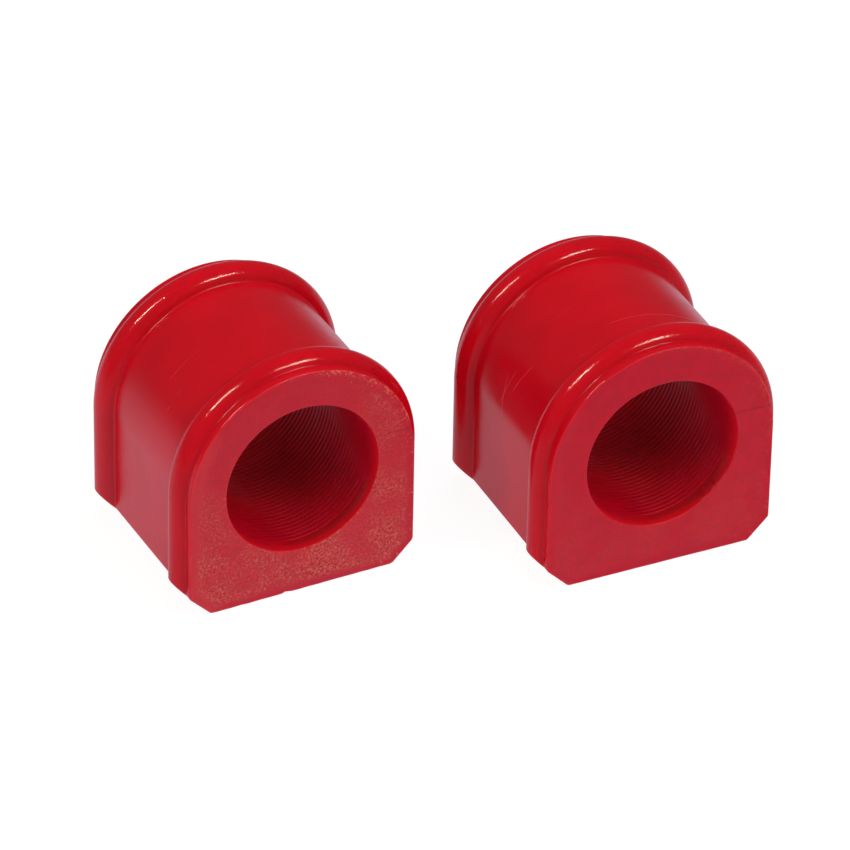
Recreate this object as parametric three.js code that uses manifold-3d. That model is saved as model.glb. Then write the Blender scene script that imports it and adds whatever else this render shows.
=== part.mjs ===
// A pair of moulded polyurethane sway-bar bushings, standing side by side on their flat seats.
//
// Each bushing is one solid moulding. Its section is a D: a half-round arch concentric with the bore, two
// upright sides, and a flat seat with both bottom corners cut at 45 degrees. A half-round rib near each end
// runs over the arch and down both sides, and keeps the clamp bracket centred on the plain band between
// the two. The bar turns in the bore, and a knife slit through one wall lets the bushing open over the bar.
//
// Millimetres, +Z up. The bores run along Y and the pair stands on Z = 0, centred on the origin.

import * as THREE from 'three';
import { mergeVertices, toCreasedNormals } from 'three/addons/utils/BufferGeometryUtils.js';
import Module from 'manifold-3d';

// ---- driving dimensions -------------------------------------------------------------------------------

const BORE_DIAMETER = 32;          // clears a 32 mm (1-1/4 in) bar
const BORE_HEIGHT = 25.4;          // bore axis above the flat seat
const LENGTH = 43.2;               // along the bar, end face to end face
const BAND_HALF_WIDTH = 23;        // bore axis to the plain band that the bracket clamps
const LIP_HALF_WIDTH = 23.7;       // bore axis to the thin lip outside each rib
const RIB_PEAK = 25.7;             // bore axis to the crest of a rib
const RIB_RADIUS = 3;              // half-round section of a rib
const RIB_SETBACK = 4.9;           // end face to the middle of a rib
const BAND_FILLET = 0.5;           // inside corner between a rib and the band
const LIP_FILLET = 0.3;            // inside corner between a rib and the lip
const CORNER_CUT = 4.5;            // 45 degree bottom corners, measured on the lip
const SLIT_WIDTH = 0.3;            // the slit, drawn slightly open
const SLIT_RISE = 5.2;             // slit above the bore axis

const PAIR_SPACING = 66.2;         // centre to centre, across the bars
const PAIR_STAGGER = 22;           // the right bushing stands this much nearer the front
const RIGHT_TURN = -2.2;           // degrees, seen from above

// ---- smoothness of the round surfaces -----------------------------------------------------------------

const RING_SEGMENTS = 64;          // around the arch and the ribs
const BORE_SEGMENTS = 64;
const RIB_SEGMENTS = 12;           // across the half-round section of a rib
const FILLET_SEGMENTS = 3;
const CREASE = THREE.MathUtils.degToRad(25);   // sharper corners than this are shaded as edges
const WELD = 1e-4;                             // vertices closer than this are one

const OVERRUN = 2;                 // how far a cutter or a hidden root runs past the surface it meets

// ---- solids -------------------------------------------------------------------------------------------

const wasm = await Module();
wasm.setup();
const { Manifold, Mesh } = wasm;

/** A closed three.js geometry as a solid that can be cut and joined. */
function toSolid(geometry) {
  const bare = geometry.clone();
  bare.deleteAttribute('normal');
  bare.deleteAttribute('uv');
  const welded = mergeVertices(bare, WELD);
  return new Manifold(new Mesh({
    numProp: 3,
    vertProperties: new Float32Array(welded.attributes.position.array),
    triVerts: new Uint32Array(welded.index.array),
  }));
}

/** A solid back as a three.js geometry. */
function toGeometry(solid) {
  const mesh = solid.getMesh();
  const geometry = new THREE.BufferGeometry();
  geometry.setAttribute('position', new THREE.BufferAttribute(mesh.vertProperties, 3));
  geometry.setIndex(new THREE.BufferAttribute(mesh.triVerts, 1));
  return toCreasedNormals(geometry, CREASE);
}

/** A section drawn in X and Z, extruded along the bore and centred on the middle of the length. */
function alongBore(section, length) {
  const geometry = new THREE.ExtrudeGeometry(section, {
    depth: length,
    bevelEnabled: false,
    curveSegments: RING_SEGMENTS / 2,
  });
  geometry.translate(0, 0, -length / 2);
  geometry.rotateX(Math.PI / 2);
  return toSolid(geometry);
}

/** The D section of the band: flat seat, upright sides, and an arch concentric with the bore. */
function bandSection() {
  const section = new THREE.Shape();
  section.moveTo(-BAND_HALF_WIDTH, 0);
  section.lineTo(BAND_HALF_WIDTH, 0);
  section.lineTo(BAND_HALF_WIDTH, BORE_HEIGHT);
  section.absarc(0, BORE_HEIGHT, BAND_HALF_WIDTH, 0, Math.PI, false);
  section.closePath();
  return section;
}

/** The space above the seat and inside the two bottom corner cuts. */
function seatSection() {
  const seatHalfWidth = LIP_HALF_WIDTH - CORNER_CUT;
  const side = RIB_PEAK + OVERRUN;
  const cutTop = side - seatHalfWidth;
  const top = BORE_HEIGHT + side;
  const section = new THREE.Shape();
  section.moveTo(-seatHalfWidth, 0);
  section.lineTo(seatHalfWidth, 0);
  section.lineTo(side, cutTop);
  section.lineTo(side, top);
  section.lineTo(-side, top);
  section.lineTo(-side, cutTop);
  section.closePath();
  return section;
}

/**
 * The outside of a ribbed end, as distance from the bore axis against distance from the rib's middle: the
 * lip, a fillet, the half-round rib, a wider fillet, and the start of the band.
 */
function ribProfile() {
  const centre = RIB_PEAK - RIB_RADIUS;
  const root = BAND_HALF_WIDTH - OVERRUN;

  // A fillet's centre stands its own radius off the flat it blends from, and touches the rib's circle.
  function fillet(flat, radius) {
    const x = flat + radius;
    const reach = RIB_RADIUS + radius;
    const y = Math.sqrt(reach ** 2 - (x - centre) ** 2);
    return { x, y, radius, turn: Math.atan2(y, x - centre) };
  }

  const lip = fillet(LIP_HALF_WIDTH, LIP_FILLET);
  const band = fillet(BAND_HALF_WIDTH, BAND_FILLET);
  const points = [new THREE.Vector2(root, -RIB_SETBACK), new THREE.Vector2(LIP_HALF_WIDTH, -RIB_SETBACK)];

  function arc(x, y, radius, from, to, steps) {
    for (let i = 0; i <= steps; i += 1) {
      const angle = from + (to - from) * i / steps;
      points.push(new THREE.Vector2(x + radius * Math.cos(angle), y + radius * Math.sin(angle)));
    }
  }

  arc(lip.x, -lip.y, lip.radius, Math.PI, Math.PI - lip.turn, FILLET_SEGMENTS);
  arc(centre, 0, RIB_RADIUS, -lip.turn, band.turn, RIB_SEGMENTS);
  arc(band.x, band.y, band.radius, Math.PI + band.turn, Math.PI, FILLET_SEGMENTS);
  points.push(new THREE.Vector2(root, band.y));
  return points;
}

/** One ribbed end: a ring around the bore axis for the arch, and a straight bar down each side. */
function ribbedEnd() {
  const profile = ribProfile();
  const ring = new THREE.LatheGeometry([...profile, profile[0]], RING_SEGMENTS);
  ring.translate(0, 0, BORE_HEIGHT);
  let end = toSolid(ring);

  const bar = new THREE.ExtrudeGeometry(new THREE.Shape(profile), {
    depth: BORE_HEIGHT + OVERRUN,
    bevelEnabled: false,
  });
  bar.translate(0, 0, -OVERRUN);
  const rightBar = toSolid(bar);
  end = end.add(rightBar).add(rightBar.mirror([1, 0, 0]));
  return end.translate([0, RIB_SETBACK - LENGTH / 2, 0]);
}

/** The bore, run past both end faces. */
function boreCutter() {
  const reach = LENGTH / 2 + OVERRUN;
  const radius = BORE_DIAMETER / 2;
  const profile = [
    new THREE.Vector2(0, -reach),
    new THREE.Vector2(radius, -reach),
    new THREE.Vector2(radius, reach),
    new THREE.Vector2(0, reach),
  ];
  const cutter = new THREE.LatheGeometry(profile, BORE_SEGMENTS);
  cutter.translate(0, 0, BORE_HEIGHT);
  return toSolid(cutter);
}

/** The knife slit, from inside the bore out through the +X wall. */
function slitCutter() {
  const reach = RIB_PEAK + OVERRUN;
  const cutter = new THREE.BoxGeometry(reach, LENGTH + 2 * OVERRUN, SLIT_WIDTH);
  cutter.translate(reach / 2, 0, BORE_HEIGHT + SLIT_RISE);
  return toSolid(cutter);
}

/** One bushing, its bore along Y and its seat on Z = 0. */
function bushingSolid() {
  const frontEnd = ribbedEnd();
  const backEnd = frontEnd.mirror([0, 1, 0]);
  return alongBore(bandSection(), LENGTH)
    .add(frontEnd)
    .add(backEnd)
    .intersect(alongBore(seatSection(), LENGTH))
    .subtract(boreCutter())
    .subtract(slitCutter());
}

// ---- the pair -----------------------------------------------------------------------------------------

const bushingGeometry = toGeometry(bushingSolid());

/** A named bushing in red polyurethane. */
function bushing(name) {
  const polyurethane = new THREE.MeshStandardMaterial({
    color: 0xb5121f,
    roughness: 0.4,
    metalness: 0,
  });
  const mesh = new THREE.Mesh(bushingGeometry, polyurethane);
  mesh.name = name;
  return mesh;
}

const left = bushing('bushing_left');
const right = bushing('bushing_right');
right.position.set(PAIR_SPACING, -PAIR_STAGGER, 0);
right.rotation.z = THREE.MathUtils.degToRad(RIGHT_TURN);

const pair = new THREE.Group();
pair.add(left, right);

const middle = new THREE.Box3().setFromObject(pair, true).getCenter(new THREE.Vector3());
pair.position.set(-middle.x, -middle.y, 0);

export default pair;
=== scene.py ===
"""A pair of red polyurethane sway-bar bushings on a white floor.

Each bushing is one mesh, swept round its bore: a closed profile (outside, back end face, grooved bore, front
end face) is carried from the upper lip of its slit, over the arch, down the left side, across the seat and up
the right side to the lower lip. Shapes are worked out in millimetres in a bushing's own frame, with the bore
along Y, the front end face on Y = 0 and the seat on Z = 0, and are then placed where the CAD bushing stands.
"""

import math

import bpy
import numpy as np
from mathutils import Matrix, Vector


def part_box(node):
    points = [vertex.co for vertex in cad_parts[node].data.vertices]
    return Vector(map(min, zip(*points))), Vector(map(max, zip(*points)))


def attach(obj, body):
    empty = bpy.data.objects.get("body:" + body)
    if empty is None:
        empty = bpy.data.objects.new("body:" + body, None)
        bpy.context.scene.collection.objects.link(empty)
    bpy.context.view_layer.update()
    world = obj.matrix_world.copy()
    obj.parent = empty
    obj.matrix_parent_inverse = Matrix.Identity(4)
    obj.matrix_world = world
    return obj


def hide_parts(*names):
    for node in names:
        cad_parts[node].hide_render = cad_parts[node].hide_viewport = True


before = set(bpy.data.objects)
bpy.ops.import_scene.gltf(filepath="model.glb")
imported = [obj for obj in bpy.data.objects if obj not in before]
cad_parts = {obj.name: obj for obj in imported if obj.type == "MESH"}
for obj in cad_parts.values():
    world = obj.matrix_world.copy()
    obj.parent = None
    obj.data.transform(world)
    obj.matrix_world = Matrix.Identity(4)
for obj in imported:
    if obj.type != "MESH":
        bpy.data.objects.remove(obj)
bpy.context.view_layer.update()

MM = 0.001

# ---- the bushing, in millimetres ----------------------------------------------------------------------

BORE_RADIUS = 16.0
BORE_HEIGHT = 25.4
LENGTH = 43.2
BAND = 23.0                # bore axis to the plain band
LIP = 23.7                 # bore axis to the lip outside each rib
RIB_PEAK = 25.7            # bore axis to the crest of a rib
RIB_RADIUS = 3.0
RIB_SETBACK = 4.9          # end face to the middle of a rib
BAND_FILLET = 0.5          # between a rib and the band
LIP_FILLET = 0.3           # between a rib and the lip
CORNER_CUT = 4.5           # 45 degree bottom corners, measured on the lip
CORNER_ROUND = 1.2         # where a corner cut meets the seat and the side
EDGE_ROUND = 0.45          # end face to outside
MOUTH_ROUND = 0.28         # end face to bore
SLIT_RISE = 5.2            # bore axis up to the slit
SLIT_WIDTH = 0.03          # its lips all but touch
UPPER_LIP = SLIT_RISE + SLIT_WIDTH / 2
LOWER_LIP = SLIT_RISE - SLIT_WIDTH / 2

GROOVES = 33               # fine, shallow grease grooves round the bore
GROOVE_PITCH = 1.12
GROOVE_DEPTH = 0.14
NOTCH = ((0.0, 0), (0.06, 1), (0.5, 1), (0.56, 0))   # one groove: share of the pitch, share of the depth
SMOOTH_STRIP = 28          # degrees either side of the slit where the grooves have run out, mid length
STRIP_FLARE = 18           # and this much more at each mouth
STRIP_FADE = 9
FAINT_SIDE = 235           # the grooves are faint about this angle, low on the left
FAINT_REACH = 30
FAINT_DEPTH = 0.2          # share of the full depth left there

RIGHT_TURN = math.radians(-2.2)

# ---- mesh density -------------------------------------------------------------------------------------

ARCH_STEPS = 120
LOWER_LIP_STEPS = 10       # arch between the slit and the right side
SIDE_STEPS = 12
CORNER_STEPS = 6
CUT_STEPS = 4
SEAT_STEPS = 52
RIB_STEPS = 24
FILLET_STEPS = 4
BAND_STEPS = 10
FACE_STEPS = 7
EDGE_STEPS = 4
SATIN_STEPS = 2            # steps of an edge's rounding, next to the end face, that are finished like it
SUPPORT = 0.12             # a flat keeps its shading with a row this close to its edge
LIP_EASE = math.radians(50)       # turn over which the bore's columns slide round to the slit's lips
SHARP_ANGLE = math.radians(75)    # steeper corners than this are shaded as edges

OUTSIDE, END_FACE, BORE = 0, 1, 2      # material slots


def smooth(share):
    """0 to 1 with a gentle start and finish."""
    return share * share * (3 - 2 * share)


def straight(start, end, steps):
    """Points from start up to, not including, end, with one held close to each end."""
    start, end = np.array(start, float), np.array(end, float)
    close = min(SUPPORT / np.linalg.norm(end - start), 0.5 / steps)
    shares = [0.0, close, *[k / steps for k in range(1, steps)], 1 - close]
    return [tuple(start + (end - start) * share) for share in shares]


def rounded(corner, heading_in, heading_out, radius, steps):
    """Points of the arc that rounds a left-hand corner, its first point and its last one included."""
    turn = heading_out - heading_in
    back = radius * math.tan(turn / 2)
    start = np.array(corner) - back * np.array((math.cos(heading_in), math.sin(heading_in)))
    centre = start + radius * np.array((-math.sin(heading_in), math.cos(heading_in)))
    angles = [heading_in - math.pi / 2 + turn * k / steps for k in range(steps + 1)]
    return [tuple(centre + radius * np.array((math.cos(a), math.sin(a)))) for a in angles]


def outline(half_width, inset=0.0):
    """The section across the bore as (x, z), counter-clockwise from the slit's upper lip to its lower."""
    cut = LIP - CORNER_CUT - math.sqrt(2) * inset
    side_corner = half_width - cut
    seat_corner = cut + inset
    radius = CORNER_ROUND - inset
    upper = math.asin(UPPER_LIP / half_width)
    lower = math.asin(LOWER_LIP / half_width)

    def arch(start, end, steps):
        return [
            (half_width * math.cos(a), BORE_HEIGHT + half_width * math.sin(a))
            for a in (start + (end - start) * k / steps for k in range(steps + 1))
        ]

    down, cut_down, level, cut_up, up = (math.radians(d) for d in (270, 315, 360, 405, 450))
    corners = [
        rounded((-half_width, side_corner), down, cut_down, radius, CORNER_STEPS),
        rounded((-seat_corner, inset), cut_down, level, radius, CORNER_STEPS),
        rounded((seat_corner, inset), level, cut_up, radius, CORNER_STEPS),
        rounded((half_width, side_corner), cut_up, up, radius, CORNER_STEPS),
    ]
    points = arch(upper, math.pi, ARCH_STEPS)[:-1]
    points += straight((-half_width, BORE_HEIGHT), corners[0][0], SIDE_STEPS)
    for here, after, steps in zip(corners, corners[1:], (CUT_STEPS, SEAT_STEPS, CUT_STEPS)):
        points += here[:-1] + straight(here[-1], after[0], steps)
    points += corners[3][:-1] + straight(corners[3][-1], (half_width, BORE_HEIGHT), SIDE_STEPS)
    points += arch(0.0, lower, LOWER_LIP_STEPS)
    return np.array(points)


def edge_rows():
    """(y, half width, inset) over the rounding of the front end face's outer edge."""
    rows = []
    for k in range(EDGE_STEPS + 1):
        a = math.pi / 2 * k / EDGE_STEPS
        inset = EDGE_ROUND * (1 - math.sin(a))
        rows.append((EDGE_ROUND * (1 - math.cos(a)), LIP - inset, inset))
    return rows


def rib_rows():
    """(y, half width, inset) over the front rib, from the lip before it to the band behind it."""
    centre = RIB_PEAK - RIB_RADIUS
    rows = []

    def fillet(flat, radius):
        """The centre of a fillet between a flat and the rib, and the turn where it meets the rib."""
        x = flat + radius
        y = math.sqrt((RIB_RADIUS + radius) ** 2 - (x - centre) ** 2)
        return x, y, math.atan2(y, x - centre)

    def arc(x, y, radius, start, end, steps):
        for k in range(steps + 1):
            a = start + (end - start) * k / steps
            rows.append((RIB_SETBACK + y + radius * math.sin(a), x + radius * math.cos(a), 0.0))

    lip_x, lip_y, lip_turn = fillet(LIP, LIP_FILLET)
    band_x, band_y, band_turn = fillet(BAND, BAND_FILLET)
    rows.append((RIB_SETBACK - lip_y - SUPPORT, LIP, 0.0))
    arc(lip_x, -lip_y, LIP_FILLET, math.pi, math.pi - lip_turn, FILLET_STEPS)
    rows.pop()
    arc(centre, 0.0, RIB_RADIUS, -lip_turn, band_turn, RIB_STEPS)
    rows.pop()
    arc(band_x, band_y, BAND_FILLET, math.pi + band_turn, math.pi, FILLET_STEPS)
    return rows


def outside_rows():
    """(y, half width, inset) along the outside, front face to back face."""
    rows = edge_rows() + [(EDGE_ROUND + SUPPORT, LIP, 0.0)] + rib_rows()
    foot = rows[-1][0]
    rows.append((foot + SUPPORT, BAND, 0.0))
    band = [(foot + (LENGTH - 2 * foot) * k / BAND_STEPS, BAND, 0.0) for k in range(1, BAND_STEPS)]
    return rows + band + [(LENGTH - y, half_width, inset) for y, half_width, inset in reversed(rows)]


def bore_rows():
    """(y, radius, groove depth) along the bore, front face to back face."""
    rows = []
    for k in range(EDGE_STEPS + 1):
        a = math.pi / 2 * k / EDGE_STEPS
        rows.append((MOUTH_ROUND * (1 - math.cos(a)), BORE_RADIUS + MOUTH_ROUND * (1 - math.sin(a)), 0))
    rows.append((MOUTH_ROUND + SUPPORT, BORE_RADIUS, 0))
    back = [(LENGTH - y, radius, 0) for y, radius, _ in reversed(rows)]
    first = (LENGTH - GROOVE_PITCH * GROOVES) / 2
    for k in range(GROOVES):
        for share, deep in NOTCH:
            rows.append((first + GROOVE_PITCH * (k + share), BORE_RADIUS, GROOVE_DEPTH * deep))
    return rows + back


def bore_angles(edge):
    """The bore angle of each column: that of the outline, eased round to the slit's at both ends."""
    angles = np.unwrap(np.arctan2(edge[:, 1] - BORE_HEIGHT, edge[:, 0]))
    for end, rise, turns in ((0, UPPER_LIP, 0), (-1, LOWER_LIP, 1)):
        shift = math.asin(rise / BORE_RADIUS) + 2 * math.pi * turns - angles[end]
        near = np.clip(1 - np.abs(angles - angles[end]) / LIP_EASE, 0, 1)
        angles = angles + shift * smooth(near)
    return angles


def bore_ring(y, radius, groove, angles):
    """One ring of the bore, its ends on the slit's lips.

    A groove runs out beside the slit, and is faint low on the left.
    """
    from_slit = np.degrees(np.minimum(angles - angles[0], angles[-1] - angles))
    from_faint = np.abs(np.degrees(angles) - FAINT_SIDE)
    flare = STRIP_FLARE * abs(2 * y / LENGTH - 1)
    run = np.clip((from_slit - SMOOTH_STRIP - flare) / STRIP_FADE + 0.5, 0, 1)
    faint = np.clip((FAINT_REACH - from_faint) / STRIP_FADE + 0.5, 0, 1)
    radii = radius + groove * smooth(run) * (1 - (1 - FAINT_DEPTH) * faint)
    x, z = radii * np.cos(angles), radii * np.sin(angles)
    for end, rise in ((0, UPPER_LIP), (-1, LOWER_LIP)):
        x[end], z[end] = math.sqrt(radius**2 - rise**2), rise
    return np.column_stack([x, np.full(len(x), y), BORE_HEIGHT + z])


def end_face(edge, mouth):
    """Rings from an end face's outer edge in to the bore's mouth, each with its distance from the edge."""
    width = np.linalg.norm(edge - mouth, axis=1)
    close = SUPPORT / width.mean()
    shares = [close, *[k / FACE_STEPS for k in range(1, FACE_STEPS)], 1 - close]
    return [(edge * (1 - share) + mouth * share, width * share) for share in shares]


def profile_rings():
    """(ring, distance in from an end face's outer edge, slot) in order round the closed profile.

    The faces between a ring and the next one take the first one's slot.
    """
    outside = []
    for y, half_width, inset in outside_rows():
        section = outline(half_width, inset)
        outside.append(np.column_stack([section[:, 0], np.full(len(section), y), section[:, 1]]))
    angles = bore_angles(outside[0][:, [0, 2]])
    bore = [bore_ring(*row, angles) for row in bore_rows()]

    width = np.linalg.norm(outside[0] - bore[0], axis=1)
    rings = [(ring, 0 * width, OUTSIDE) for ring in outside]
    for k in (*range(SATIN_STEPS), *range(len(outside) - 1 - SATIN_STEPS, len(outside))):
        rings[k] = (outside[k], 0 * width, END_FACE)
    # The bore runs back to front, and the rounding at each mouth is finished like the end faces.
    rings += [(ring, rim, END_FACE) for ring, rim in end_face(outside[-1], bore[-1])]
    rings += [(ring, width, END_FACE) for ring in bore[:-1 - EDGE_STEPS:-1]]
    rings += [(ring, width, BORE) for ring in bore[-1 - EDGE_STEPS:EDGE_STEPS:-1]]
    rings += [(ring, width, END_FACE) for ring in bore[EDGE_STEPS::-1]]
    rings += [(ring, rim, END_FACE) for ring, rim in end_face(outside[0], bore[0])[::-1]]
    return rings


def bushing_mesh(name, marks):
    """The bushing as a mesh in metres, its origin on the seat under the middle of the bore."""
    rings = profile_rings()
    steps = np.linalg.norm(np.diff(rings[0][0], axis=0), axis=1)
    along = np.concatenate([[0], np.cumsum(steps)])
    points = np.stack([ring for ring, _, _ in rings])
    rims = np.stack([rim for _, rim, _ in rings])
    slots = [slot for _, _, slot in rings]
    marks(points, rims)
    points[..., 1] -= LENGTH / 2

    rows, columns = points.shape[:2]
    index = np.arange(rows * columns).reshape(rows, columns)
    after = np.roll(index, -1, axis=0)
    quads = np.stack([index[:, :-1], after[:, :-1], after[:, 1:], index[:, 1:]], axis=-1)
    faces = [tuple(quad) for quad in quads.reshape(-1, 4).tolist()]
    faces += [tuple(index[::-1, 0].tolist()), tuple(index[:, -1].tolist())]     # the slit's two lips
    materials = np.repeat(slots, columns - 1).tolist() + [OUTSIDE, OUTSIDE]

    mesh = bpy.data.meshes.new(name)
    mesh.from_pydata((points.reshape(-1, 3) * MM).tolist(), [], faces)
    mesh.polygons.foreach_set("material_index", materials)
    mesh.polygons.foreach_set("use_smooth", [True] * len(faces))
    for label, values in (("along", np.tile(along, rows)), ("rim", rims.ravel())):
        mesh.attributes.new(label, "FLOAT", "POINT").data.foreach_set("value", values.astype("f"))
    mesh.set_sharp_from_angle(angle=SHARP_ANGLE)
    mesh.update()
    return mesh


# ---- what sets the two apart: knocks, chips and flash, in millimetres and degrees -----------------------

TRIM_WAVE = 0.14           # the left bushing's front edge wavers this much where it was trimmed
CHIP_DEPTH = 0.25          # its chips, deepest this far round the arch
CHIP_ANGLE = 50
CHIP_SPREAD = 28
NICK_X = -3.4              # its nick, in the seat's front edge
NICK_WIDTH = 0.6
NICK_DEPTH = 0.4
FLASH_ANGLE = -46          # the right bushing's rag of flash, low on the right of the bore's mouth
FLASH_SPREAD = 13
FLASH_BEHIND = 0.15        # end face to the rag
FLASH_THICKNESS = 0.3
FLASH_LEAST = 0.2          # how far it reaches into the bore, and up to how much further in places
FLASH_MORE = 0.7
RIGHT_WAVE = 0.06          # how much the right bushing's front edge wavers


def hump(values, centre, spread):
    """A smooth bump of height 1 about a centre."""
    return np.exp(-(((values - centre) / spread) ** 2))


def ragged(count, seed, width):
    """Random heights from 0 to 1, one for each column, averaged over a width in columns."""
    heights = np.random.default_rng(seed).random(count + 2 * width)
    heights = np.convolve(heights, np.ones(width) / width, "same")[width:-width]
    return (heights - heights.min()) / (heights.max() - heights.min())


def near_edge(points, rims, reach):
    """How close each point is to the front end face's outer edge, 1 on it and 0 from reach away."""
    behind = np.clip(1 - points[..., 1] / reach, 0, 1)
    inside = np.clip(1 - rims / reach, 0, 1)
    return behind * inside


def left_marks(points, rims):
    """A nick in the seat's front edge, a wavy trimmed edge and chips along the right of the arch."""
    x, z = points[..., 0].copy(), points[..., 2].copy()
    edge = near_edge(points, rims, reach=1.2)
    columns = points.shape[1]
    turn = np.degrees(np.arctan2(z - BORE_HEIGHT, x))
    wavy = TRIM_WAVE * ragged(columns, seed=3, width=3)
    chips = CHIP_DEPTH * ragged(columns, seed=5, width=1) ** 3 * hump(turn, CHIP_ANGLE, CHIP_SPREAD)
    points[..., 1] += edge * (wavy + chips)
    low = np.clip(1 - z, 0, 1)
    points[..., 2] += NICK_DEPTH * hump(x, NICK_X, NICK_WIDTH) * edge * low


def right_marks(points, rims):
    """A thin rag of flash on the lower right of the bore's front mouth, and a faintly wavy edge."""
    x, z = points[..., 0].copy(), points[..., 2] - BORE_HEIGHT
    columns = points.shape[1]
    turn = np.degrees(np.arctan2(z, x))
    radius = np.hypot(x, z)
    mouth = hump(points[..., 1], FLASH_BEHIND, FLASH_THICKNESS) * (radius < BORE_RADIUS + MOUTH_ROUND + 0.01)
    rag = FLASH_LEAST + FLASH_MORE * ragged(columns, seed=11, width=1)
    inward = mouth * rag * hump(turn, FLASH_ANGLE, FLASH_SPREAD) / radius
    points[..., 0] -= x * inward
    points[..., 2] -= z * inward
    wavy = RIGHT_WAVE * ragged(columns, seed=8, width=4)
    points[..., 1] += near_edge(points, rims, reach=1.0) * wavy


# ---- materials ----------------------------------------------------------------------------------------
#
# Lengths are millimetres. A noise lies mostly between 0.3 and 0.7, so the bounds of a ramp over it say how
# much of a surface takes a mark.

RED = (0.495, 0.002, 0.0105, 1.0)
FACE_RED = (0.49, 0.004, 0.021, 1.0)
BORE_RED = (0.5, 0.0018, 0.018, 1.0)
# painted glow: the bore near its mouths is a brighter red, standing in for light that comes through from the
# end faces
MOUTH_PAINTED_GLOW = (0.62, 0.004, 0.016, 1.0)
SCUFF = (0.62, 0.165, 0.125, 1.0)
CHIPPED = (0.68, 0.22, 0.16, 1.0)
LEFT_EDGE_PINK = (0.56, 0.035, 0.05, 1.0)
HANDLED = (0.56, 0.1, 0.14, 1.0)
SCRATCHED = (0.6, 0.12, 0.12, 1.0)
IOR = 1.5
GLOW_DEPTH = 0.0012           # how far red light travels inside, in metres
GLOW_SHARES = (1.0, 0.12, 0.1)    # share of that depth for red, green and blue
BORE_GLOW = 0.0006            # less in the bore, so that its grooves stay crisp
MOUTH_GLOW = 0.0045           # more at its mouths and low down, which the ends light through
RIB_GLOSS_END = 7.3           # the ribs' gloss runs from an end face to here
BAND_GLOSS_START = 7.8        # and the band's softer one starts here
SCRATCHES = (                 # on the less worn bushing: start, end, y, slant
    (12, 38, -9.5, 0.09),
    (52, 62, -3.0, 0.3),
    (55, 66, 0.5, 0.22),
    (57, 68, 3.0, -0.15),
)


def shade(color, factor):
    return (color[0] * factor, color[1] * factor, color[2] * factor, 1.0)


class Nodes:
    """A material's node tree, with short calls for the nodes used here."""

    def __init__(self, name):
        self.material = bpy.data.materials.new(name)
        self.material.use_nodes = True
        self.tree = self.material.node_tree
        self.shader = self.tree.nodes["Principled BSDF"]

    def add(self, kind, inputs=None, **settings):
        node = self.tree.nodes.new(kind)
        for key, value in settings.items():
            setattr(node, key, value)
        for key, value in (inputs or {}).items():
            self.feed(node.inputs[key], value)
        return node

    def feed(self, socket, value):
        if isinstance(value, bpy.types.NodeSocket):
            self.tree.links.new(value, socket)
        else:
            socket.default_value = value

    def set(self, **values):
        """Puts values or links on the shader's own inputs, named with _ for a space."""
        for key, value in values.items():
            self.feed(self.shader.inputs[key.replace("_", " ")], value)

    def place(self, shift=(0, 0, 0)):
        """Where a point is, in millimetres, moved so that no two pieces carry the same pattern."""
        where = self.add("ShaderNodeTexCoord").outputs["Object"]
        inputs = {"Vector": where, "Location": shift, "Scale": [1 / MM] * 3}
        return self.add("ShaderNodeMapping", inputs).outputs[0]

    def split(self, vector):
        return self.add("ShaderNodeSeparateXYZ", {0: vector}).outputs

    def join(self, x, y, z):
        return self.add("ShaderNodeCombineXYZ", {0: x, 1: y, 2: z}).outputs[0]

    def attribute(self, name):
        return self.add("ShaderNodeAttribute", attribute_name=name).outputs["Fac"]

    def noise(self, where, scale, detail=2.0, roughness=0.5):
        """Smooth noise about 0.5; scale is features per millimetre."""
        inputs = {"Vector": where, "Scale": scale, "Detail": detail, "Roughness": roughness}
        return self.add("ShaderNodeTexNoise", inputs).outputs["Fac"]

    def cells(self, where, scale):
        """(distance to the nearest of scattered points, that point's own random value)."""
        node = self.add("ShaderNodeTexVoronoi", {"Vector": where, "Scale": scale})
        return node.outputs["Distance"], self.split(node.outputs["Color"])[0]

    def ramp(self, value, low, high, start=0.0, end=1.0):
        """start below low, end above high, and a smooth step between."""
        inputs = {"Value": value, "From Min": low, "From Max": high, "To Min": start, "To Max": end}
        return self.add("ShaderNodeMapRange", inputs, interpolation_type="SMOOTHSTEP").outputs[0]

    def math(self, operation, a, b=0.0):
        return self.add("ShaderNodeMath", {0: a, 1: b}, operation=operation).outputs[0]

    def fold(self, operation, values):
        result = values[0]
        for value in values[1:]:
            result = self.math(operation, result, value)
        return result

    def times(self, *values):
        return self.fold("MULTIPLY", values)

    def plus(self, *values):
        return self.fold("ADD", values)

    def highest(self, *values):
        return self.fold("MAXIMUM", values)

    def minus(self, a, b):
        return self.math("SUBTRACT", a, b)

    def size(self, value):
        return self.math("ABSOLUTE", value)

    def distance(self, a, b):
        """The long side of a right triangle with the other sides a and b."""
        return self.math("SQRT", self.plus(self.times(a, a), self.times(b, b)))

    def blend(self, share, a, b):
        """Colour a where share is 0 and b where it is 1."""
        node = self.add("ShaderNodeMix", data_type="RGBA")
        self.feed(node.inputs[0], share)
        self.feed(node.inputs[6], a)
        self.feed(node.inputs[7], b)
        return node.outputs[2]

    def mottled(self, color, noise, spread):
        """The colour, darker and lighter by this share with the noise."""
        return self.blend(self.ramp(noise, 0.3, 0.7), shade(color, 1 - spread), shade(color, 1 + spread))

    def relief(self, *heights):
        """A bump map of heights in millimetres, added up."""
        inputs = {"Height": self.plus(*heights), "Distance": MM, "Strength": 1.0}
        return self.add("ShaderNodeBump", inputs).outputs[0]

    def polyurethane(self):
        """What every face of the moulding shares: light that travels a little way inside."""
        self.set(IOR=IOR, Subsurface_Weight=1.0)
        self.set(Subsurface_Radius=GLOW_SHARES, Subsurface_Scale=GLOW_DEPTH)


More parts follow.
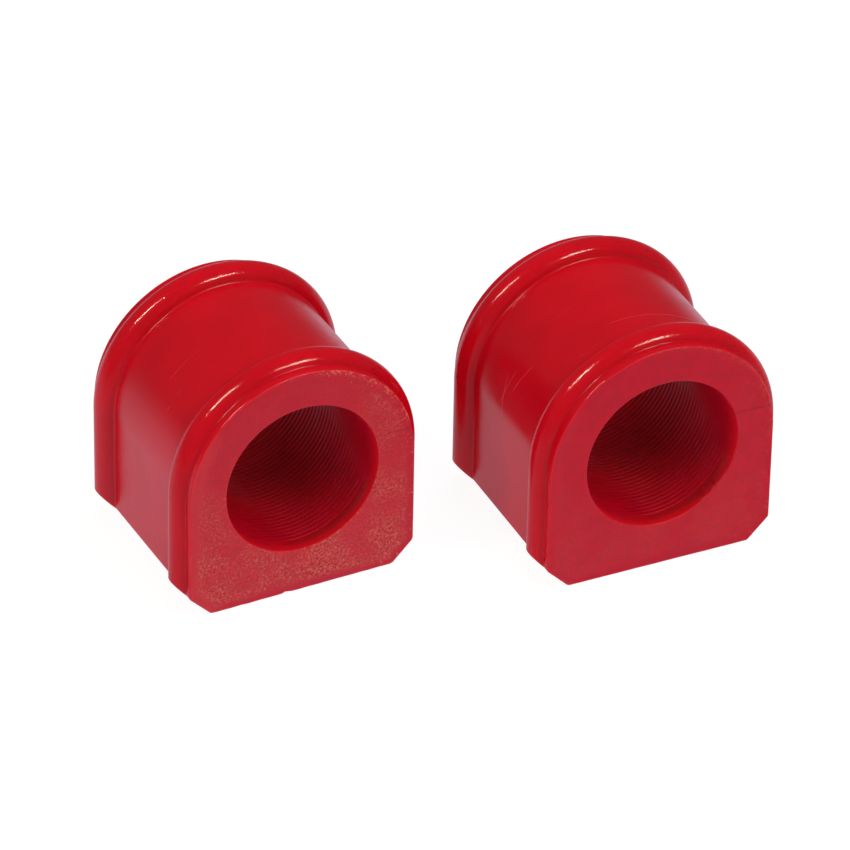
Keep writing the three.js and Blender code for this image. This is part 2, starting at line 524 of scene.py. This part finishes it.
def tool_marks(n, x, y, along, shift):
    """Fine lines round the moulding, clearer by the ribs and on the walls."""
    round_it = n.join(n.times(along, 0.035), y, shift[0])
    by_rib = n.ramp(n.size(y), LENGTH / 2 - 16, LENGTH / 2 - 8, 0.12, 1.0)
    on_wall = n.ramp(n.size(x), 18, 22.5, 1.0, 1.7)
    return n.times(n.noise(round_it, 3.2, 2.0, 0.6), by_rib, on_wall)


def facets(n, y, along, shift):
    """Slanting waves along the ribs, which break up their highlights."""
    slanting = n.plus(n.times(along, 2.4), n.times(y, 1.4))
    return n.noise(n.join(slanting, n.times(y, 0.7), shift[1]), 1.0, 0.0)


def pits_with_shade(n, where, x):
    """Pits, dented and painted a darker red as shade in them: a few single ones, and patches of finer ones to
    the right of the crest.
    """
    pit, pick = n.cells(where, 0.16)
    single = n.times(n.ramp(pit, 0.012, 0.024, 1.0, 0.0), n.ramp(pick, 0.8, 0.82))
    patches = n.times(n.ramp(x, 7, 12), n.ramp(n.noise(where, 0.12, 1.0), 0.42, 0.5))
    fine = n.ramp(n.noise(where, 2.6, 1.0), 0.62, 0.68)
    return n.highest(single, n.times(fine, patches))


def scratch(n, y, along, start, end, at, slant):
    """One thin line round the band from start to end, at this y where it starts and slanting from it."""
    path = n.plus(n.times(n.minus(along, start), slant), at)
    ends = n.times(n.ramp(along, start, start + 3), n.ramp(along, end - 3, end, 1.0, 0.0))
    return n.times(n.ramp(n.size(n.minus(y, path)), 0.04, 0.12, 1.0, 0.0), ends)


def scratches(n, where, y, along, shift, wear):
    """Faint scratches round the band, with the clear ones where there is less wear."""
    round_it = n.join(n.times(along, 0.03), n.times(y, 2.0), shift[1])
    patchy = n.ramp(n.noise(where, 0.1, 1.0), 0.45, 0.55)
    faint = n.times(n.ramp(n.noise(round_it, 1.0, 1.0), 0.7, 0.76), patchy, 0.25)
    clear = [n.times(scratch(n, y, along, *line), 1 - wear) for line in SCRATCHES]
    return n.highest(faint, *clear)


def moulded(name, shift, wear):
    """The glossy outside: smooth ribs, a softer band and fine tool marks running round it."""
    n = Nodes(name)
    n.polyurethane()
    where = n.place(shift)
    x, y, _ = n.split(n.place())
    along = n.attribute("along")
    rib = n.ramp(n.size(y), LENGTH / 2 - BAND_GLOSS_START, LENGTH / 2 - RIB_GLOSS_END)
    peel = n.noise(where, 0.5, 2.0)
    pits_and_shade = pits_with_shade(n, where, x)
    scratched = scratches(n, where, y, along, shift, wear)

    color = n.mottled(RED, n.noise(where, 0.09, 3.0), 0.05)
    color = n.blend(n.times(scratched, 0.4), color, SCRATCHED)
    # painted shade: the pits are coloured a darker red
    n.set(Base_Color=n.blend(n.times(pits_and_shade, 0.6), color, shade(RED, 0.35)))

    rib_gloss = n.ramp(peel, 0.3, 0.7, 0.1, 0.14)
    band_gloss = n.ramp(peel, 0.3, 0.7, 0.16 + 0.04 * wear, 0.22 + 0.05 * wear)
    gloss = n.plus(n.times(rib, rib_gloss), n.times(n.minus(1.0, rib), band_gloss))
    n.set(Roughness=n.plus(gloss, n.times(scratched, 0.2)))

    n.set(Normal=n.relief(
        n.times(tool_marks(n, x, y, along, shift), 0.013),
        n.times(facets(n, y, along, shift), rib, 0.035),
        n.times(peel, 0.008),
        n.times(pits_and_shade, -0.03),
        n.times(scratched, -0.006),
    ))
    return n.material


def scuffs(n, where, x, z, rim):
    """Where an end face has been scuffed: low down and towards the right, in patches, clear of its edge."""
    low = n.ramp(z, 6.0, 38.0, 1.0, 0.1)
    right = n.ramp(x, 6, 18, 0.0, 0.45)
    patchy = n.ramp(n.noise(where, 0.13, 2.0), 0.36, 0.62, 0.3, 1.0)
    return n.times(n.highest(low, right), patchy, n.ramp(rim, 0.5, 2.6))


def strokes(n, where, x, z, rim, shift):
    """Short strokes that point at the bore, beside the edge on the right."""
    rise = n.minus(z, BORE_HEIGHT)
    turn = n.math("ARCTAN2", rise, x)
    pointing = n.join(n.times(turn, 48), shift[0], n.times(n.distance(x, rise), 0.5))
    patchy = n.ramp(n.noise(where, 0.6, 1.0), 0.38, 0.6)
    by_right = n.times(n.ramp(x, 7, 17), n.ramp(rim, 0.3, 5.0, 1.0, 0.0))
    return n.times(n.ramp(n.noise(pointing, 1.0, 2.0), 0.54, 0.64), patchy, by_right)


def chips(n, where, rim):
    """Small chips beside the edge."""
    chip, pick = n.cells(where, 0.9)
    found = n.times(n.ramp(chip, 0.12, 0.24, 1.0, 0.0), n.ramp(pick, 0.55, 0.6))
    return n.times(found, n.ramp(rim, 0.4, 3.0, 1.0, 0.0))


def torn_edge(n, where, rim):
    """A ragged line along the edge, in patches."""
    patchy = n.ramp(n.noise(where, 0.25, 1.0), 0.36, 0.56)
    return n.times(n.ramp(n.noise(where, 2.4, 1.0), 0.5, 0.6), patchy, n.ramp(rim, 0.1, 1.0, 1.0, 0.0))


def faced(name, shift, wear):
    """The end faces: satin, pinker than the sides, and scuffed where they have been handled, with painted
    shade in the hollows of the scuffed grain.
    """
    n = Nodes(name)
    n.polyurethane()
    where = n.place(shift)
    x, _, z = n.split(n.place())
    rim = n.attribute("rim")

    mottle = n.noise(where, 0.55, 3.0, 0.6)
    grain = n.noise(where, 1.8, 2.0, 0.7)
    worms = n.ramp(n.size(n.minus(n.noise(where, 1.5, 0.0), 0.5)), 0.0, 0.05, 1.0, 0.0)
    specks = n.highest(n.ramp(grain, 0.54, 0.62), n.times(worms, 0.7))
    painted_hollow_shade = n.ramp(grain, 0.38, 0.46, 1.0, 0.0)
    scuffed = n.times(scuffs(n, where, x, z, rim), wear)
    upper_right = n.ramp(n.plus(x, z), 42, 54)
    marked = n.times(wear, n.highest(
        n.times(strokes(n, where, x, z, rim, shift), 0.45),
        n.times(chips(n, where, rim), upper_right, 0.8),
        n.times(torn_edge(n, where, rim), upper_right, 0.55),
    ))
    by_left = n.times(n.ramp(x, -16, -20), n.ramp(rim, 1.2, 3.0, 1.0, 0.0), wear)

    color = n.mottled(FACE_RED, mottle, 0.07)
    color = n.blend(0.08 * wear, color, HANDLED)
    # a lighter pink band along the end face's left edge
    color = n.blend(n.times(by_left, 0.6), color, LEFT_EDGE_PINK)
    color = n.blend(n.times(scuffed, 0.18), color, SCUFF)
    color = n.blend(n.times(scuffed, specks, 0.75 * wear), color, SCUFF)
    # painted shade: the hollows of the scuffed grain are coloured darker
    color = n.blend(n.times(scuffed, painted_hollow_shade, 0.8 * wear), color, shade(FACE_RED, 0.7))
    n.set(Base_Color=n.blend(marked, color, CHIPPED))
    n.set(Roughness=n.plus(n.ramp(mottle, 0.3, 0.7, 0.4, 0.5), n.times(scuffed, 0.1)))
    n.set(Normal=n.relief(
        n.times(mottle, 0.02),
        n.times(grain, n.plus(0.006, n.times(scuffed, 0.16))),
        n.times(worms, scuffed, 0.04),
        n.times(marked, 0.02),
    ))
    return n.material


def bored(name, shift):
    """The grooved bore, which glows more near its mouths and low down, with a painted glow of brighter red at
    the mouths.
    """
    n = Nodes(name)
    n.polyurethane()
    where = n.place(shift)
    _, y, z = n.split(n.place())
    depth = n.minus(LENGTH / 2, n.size(y))
    mouth = n.ramp(depth, 1.5, 5.0, 1.0, 0.0)
    soft = n.highest(mouth, n.ramp(z, 12.0, 26.0, 0.75, 0.0))

    color = n.mottled(BORE_RED, n.noise(where, 0.15, 3.0), 0.05)
    # painted glow: near the mouths the colour turns a brighter red for light coming through from the end
    # faces
    n.set(Base_Color=n.blend(mouth, color, MOUTH_PAINTED_GLOW))
    n.set(Subsurface_Scale=n.plus(BORE_GLOW, n.times(soft, MOUTH_GLOW - BORE_GLOW)))
    n.set(Specular_IOR_Level=0.28)
    n.set(Roughness=n.plus(n.ramp(n.noise(where, 0.8, 2.0), 0.3, 0.7, 0.32, 0.4), n.times(mouth, 0.15)))
    n.set(Normal=n.relief(n.times(n.noise(where, 0.9, 2.0), 0.006)))
    return n.material


# ---- the pair -----------------------------------------------------------------------------------------


def bushing(name, node, body, turn, marks, shift, wear):
    """Stands a bushing where its CAD node is, turned as far as that one is, and hands it to the frame."""
    piece = bpy.data.objects.new(name, bushing_mesh(name, marks))
    bpy.context.scene.collection.objects.link(piece)
    low, high = (Vector(corner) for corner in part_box(node))
    middle = (low + high) / 2
    piece.matrix_world = Matrix.Translation((middle.x, middle.y, low.z)) @ Matrix.Rotation(turn, 4, "Z")
    piece.data.materials.append(moulded(f"{name}_moulded", shift, wear))
    piece.data.materials.append(faced(f"{name}_faced", shift, wear))
    piece.data.materials.append(bored(f"{name}_bored", shift))
    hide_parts(node)
    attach(piece, body)


# ---- camera, floor and light, in metres ---------------------------------------------------------------

CAMERA_AZIMUTH = math.radians(-27.576)
CAMERA_ELEVATION = math.radians(33.758)
CAMERA_ROLL = math.radians(1.07)
CAMERA_DISTANCE = 1.30094
CAMERA_AIM = Vector((-0.002684, -0.000491, 0.02299))
CAMERA_LENS = 287.255         # in millimetres, as its sensor is
CAMERA_SENSOR = 36

WHITE = (1, 1, 1, 1)
FLOOR_REACH = 4.0
FLOOR_NEAR = 0.25             # the floor is palest out to here
FLOOR_FAR = 0.9
FLOOR_DROP = 0.00005
FLOOR_GLOW = 0.93             # the floor is a light table, so it takes almost no shadow
FLOOR_SHADE = 0.12
FRONT_MIRRORED = 0.16         # what the gloss mirrors is dimmer: the floor in front, the floor behind
BACK_MIRRORED = 0.5
SKY_MIRRORED = 0.1
MIRRORED_COLOR = (0.95, 0.88, 1.08, 1)     # a little violet
MIRRORED_TURN = 0.06          # the front of the mirrored floor gives way to the back over this far each way
MIRRORED_NEAR = 0.08          # it is brightest out to here, and dims to this share of itself
MIRRORED_FAR = 0.35
MIRRORED_LEAST = 0.35
LIGHT_AIM = Vector((0, 0, 0.03))
KEY_COLOR = (1.0, 0.88, 0.72)
KEY_RADIANCE = 40
FRONT_RADIANCE = 1.6
SIDE_RADIANCE = 2.7
FILL_RADIANCE = 1.75


def toward(azimuth, elevation):
    """The unit vector to something at this azimuth, 0 in front and 90 on the right, and elevation."""
    return Vector((
        math.sin(azimuth) * math.cos(elevation),
        -math.cos(azimuth) * math.cos(elevation),
        math.sin(elevation),
    ))


def make_camera():
    back = toward(CAMERA_AZIMUTH, CAMERA_ELEVATION)
    level = Vector((math.cos(CAMERA_AZIMUTH), math.sin(CAMERA_AZIMUTH), 0))
    right = Matrix.Rotation(CAMERA_ROLL, 3, back) @ level
    up = back.cross(right)
    data = bpy.data.cameras.new("camera")
    data.lens = CAMERA_LENS
    data.sensor_width = CAMERA_SENSOR
    data.clip_start = 0.05
    camera = bpy.data.objects.new("camera", data)
    facing = Matrix((right, up, back)).transposed().to_4x4()
    camera.matrix_world = Matrix.Translation(CAMERA_AIM + back * CAMERA_DISTANCE) @ facing
    bpy.context.scene.collection.objects.link(camera)
    bpy.context.scene.camera = camera


def sheet(name, level, glow, color):
    """A large level square that glows in this colour; glow(nodes) gives the strength."""
    mesh = bpy.data.meshes.new(name)
    corners = [(-1, -1), (1, -1), (1, 1), (-1, 1)]
    mesh.from_pydata([(x * FLOOR_REACH, y * FLOOR_REACH, level) for x, y in corners], [], [(0, 1, 2, 3)])
    floor = bpy.data.objects.new(name, mesh)
    bpy.context.scene.collection.objects.link(floor)
    n = Nodes(name)
    n.set(Base_Color=(FLOOR_SHADE,) * 3 + (1,), Roughness=0.9, Specular_IOR_Level=0.0)
    n.set(Emission_Color=color, Emission_Strength=glow(n))
    n.material.cycles.emission_sampling = "NONE"     # broad and dim, so rays find it by themselves
    mesh.materials.append(n.material)
    return floor


def make_floor():
    """A white light table, dimmer towards its far edge, and the dimmer floor that only the gloss mirrors."""

    def white(n):
        x, y, _ = n.split(n.place())
        return n.ramp(n.distance(x, y), FLOOR_NEAR / MM, FLOOR_FAR / MM, FLOOR_GLOW, FLOOR_GLOW / 3)

    def mirrored(n):
        x, y, _ = n.split(n.place())
        front = n.ramp(y, -MIRRORED_TURN / MM, MIRRORED_TURN / MM, FRONT_MIRRORED, BACK_MIRRORED)
        fading = n.ramp(n.distance(x, y), MIRRORED_NEAR / MM, MIRRORED_FAR / MM, 1.0, MIRRORED_LEAST)
        return n.times(front, fading)

    seen = sheet("floor", -FLOOR_DROP, white, WHITE)
    seen.visible_glossy = False
    gloss_only = sheet("floor_mirrored", -2 * FLOOR_DROP, mirrored, MIRRORED_COLOR)
    gloss_only.visible_camera = False
    gloss_only.visible_diffuse = False
    gloss_only.visible_shadow = False


def make_backdrop():
    """A white backdrop that gives the scene no light, and that the gloss mirrors as a dim one."""
    scene = bpy.context.scene
    scene.view_settings.view_transform = "Standard"
    world = bpy.data.worlds.new("backdrop")
    world.use_nodes = True
    nodes, links = world.node_tree.nodes, world.node_tree.links
    background = nodes["Background"]
    background.inputs["Color"].default_value = WHITE
    level = nodes.new("ShaderNodeMapRange")
    level.inputs["To Min"].default_value = 1.0
    level.inputs["To Max"].default_value = SKY_MIRRORED
    links.new(nodes.new("ShaderNodeLightPath").outputs["Is Glossy Ray"], level.inputs["Value"])
    links.new(level.outputs[0], background.inputs["Strength"])
    world.cycles.sampling_method = "NONE"
    for ray in ("diffuse", "transmission", "scatter"):
        setattr(world.cycles_visibility, ray, False)
    scene.world = world


def softbox(name, azimuth, elevation, distance, size, radiance, color=(1, 1, 1)):
    """A rectangular light aimed at the pair, from degrees round and up; radiance is how bright it looks."""
    data = bpy.data.lights.new(name, "AREA")
    data.shape = "RECTANGLE"
    data.color = color
    width, height = size
    data.size, data.size_y = width, height
    data.energy = radiance * math.pi * width * height
    lamp = bpy.data.objects.new(name, data)
    way = toward(math.radians(azimuth), math.radians(elevation))
    lamp.location = LIGHT_AIM + way * distance
    lamp.rotation_mode = "QUATERNION"
    lamp.rotation_quaternion = way.to_track_quat("Z", "Y")
    bpy.context.scene.collection.objects.link(lamp)
    return lamp


def make_light():
    """Two narrow softboxes that make the highlights, and three broad fills that the gloss doesn't mirror."""
    softbox("softbox_left", -91, 49, 0.8, (0.06, 0.29), KEY_RADIANCE, KEY_COLOR)
    softbox("softbox_right", 26, 46, 0.8, (0.29, 0.055), KEY_RADIANCE, KEY_COLOR)
    fills = (
        softbox("front", 0, 15, 1.2, (0.9, 0.5), FRONT_RADIANCE),
        softbox("side", -75, 20, 1.2, (0.9, 0.5), SIDE_RADIANCE),
        softbox("fill", 90, 68, 1.3, (1.8, 1.8), FILL_RADIANCE),
    )
    for fill in fills:
        fill.visible_glossy = False


make_camera()
make_floor()
make_backdrop()
make_light()
bushing("left_bushing", "bushing_left", "left", 0.0, left_marks, shift=(0, 0, 0), wear=1.0)
bushing("right_bushing", "bushing_right", "right", RIGHT_TURN, right_marks, shift=(70, 30, 11), wear=0.3)
